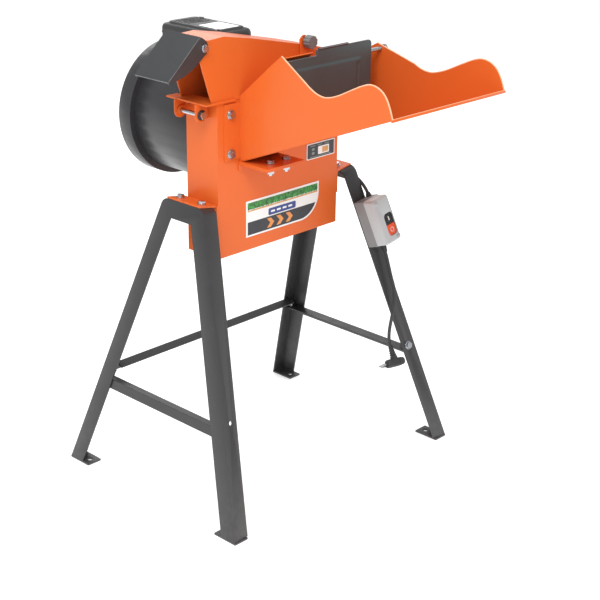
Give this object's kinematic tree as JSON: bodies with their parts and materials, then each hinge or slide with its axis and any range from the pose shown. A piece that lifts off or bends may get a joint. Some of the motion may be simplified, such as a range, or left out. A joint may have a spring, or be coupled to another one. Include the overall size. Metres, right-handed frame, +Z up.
{
  "type": "electric forage and garden-waste chipper",
  "caption": "Electric chipper-shredder: orange cutting housing with side feed tray, hinged lid and deflector, rear motor, switch box and cord, on a splayed angle-iron stand.",
  "frame": {"origin": "on the floor, at the centre of the four anchor holes in the foot plates", "axes": "+Z up, +X along the front of the housing towards the switch side, +Y from the feed tray to the motor"},
  "size_m": [0.629, 0.6996, 0.9],
  "materials": {
    "frame_grey": "satin dark grey paint",
    "zinc": "bright zinc plated",
    "orange_paint": "gloss orange enamel",
    "black_plastic": "moulded black",
    "black_paint": "satin black paint",
    "steel": "ground steel",
    "motor_paint": "satin charcoal paint",
    "winding": "varnished copper and laminations",
    "cord_rubber": "matt black rubber",
    "switch_grey": "mid grey moulding",
    "switch_light": "light grey moulding",
    "label": "printed film, graphics only",
    "knob_grey": "grey fluted moulding",
    "start_black": "black button",
    "stop_red": "red-orange button"
  },
  "bodies": {
    "base": {"left_front_leg": "frame_grey", "left_rear_leg": "frame_grey", "left_top_rail": "frame_grey", "left_crossbar": "frame_grey", "right_front_leg": "frame_grey", "right_rear_leg": "frame_grey", "right_top_rail": "frame_grey", "right_crossbar": "frame_grey", "rear_brace": "frame_grey", "foot_plates": "frame_grey", "stand_bolts": "zinc", "hinge_pin": "zinc", "tray_bolts": "zinc", "flap_rod": "zinc", "motor_bolts": "zinc", "terminal_screws": "zinc", "left_bracket": "orange_paint", "right_bracket": "orange_paint", "housing_shell": "orange_paint", "feed_tray": "orange_paint", "tray_shelf": "orange_paint", "lead_clips": "black_plastic", "lead_glands": "black_plastic", "hinge_washers": "black_plastic", "terminal_box": "black_plastic", "capacitor": "black_plastic", "scroll_sieve": "steel", "counter_knife": "steel", "bearings": "steel", "switch_screws": "steel", "plug_pins": "steel", "motor_front_shield": "motor_paint", "motor_shell": "motor_paint", "motor_rear_cover": "motor_paint", "stator": "winding", "motor_lead": "cord_rubber", "power_cord": "cord_rubber", "cord_gland": "cord_rubber", "plug_body": "cord_rubber", "switch_base": "switch_grey", "contact_block": "switch_grey", "switch_cover": "switch_light", "front_label": "label", "side_label": "label"},
    "rotor": {"rotor_shaft": "steel", "rotor_core": "steel", "cutter_disc": "black_paint", "knives": "steel", "knife_bolts": "zinc", "cooling_fan": "black_plastic"},
    "lid": {"lid_shell": "orange_paint", "deflector_bolts": "zinc"},
    "deflector": {"deflector": "black_paint"},
    "knob": {"clamp_knob": "knob_grey"},
    "flap": {"safety_flap": "black_paint"},
    "start_button": {"start_button": "start_black"},
    "stop_button": {"stop_button": "stop_red"}
  },
  "joints": [
    {"name": "rotor_spin", "type": "hinge", "parent": "base", "child": "rotor", "pos_m": [0, 0, 0.69], "axis": [0, 1, 0], "continuous": true},
    {"name": "lid_hinge", "type": "hinge", "parent": "base", "child": "lid", "pos_m": [-0.184, 0, 0.752], "axis": [0, -1, 0], "range_deg": [0, 95]},
    {"name": "deflector_pivot", "type": "hinge", "parent": "lid", "child": "deflector", "pos_m": [-0.195, 0, 0.878], "axis": [0, 1, 0], "range_deg": [-25, 45]},
    {"name": "knob_turn", "type": "hinge", "parent": "lid", "child": "knob", "pos_m": [0.063, -0.06, 0.857], "axis": [0, 1, 0], "continuous": true},
    {"name": "flap_swing", "type": "hinge", "parent": "base", "child": "flap", "pos_m": [0, -0.15, 0.844], "axis": [1, 0, 0], "range_deg": [0, 45]},
    {"name": "start_press", "type": "slide", "parent": "base", "child": "start_button", "axis": [0.0543, 0.9516, -0.3026], "range_m": [0, 0.003], "stiffness_N_per_m": 400, "springref_m": -0.001},
    {"name": "stop_press", "type": "slide", "parent": "base", "child": "stop_button", "axis": [0.0543, 0.9516, -0.3026], "range_m": [0, 0.003], "stiffness_N_per_m": 400, "springref_m": -0.001}
  ]
}
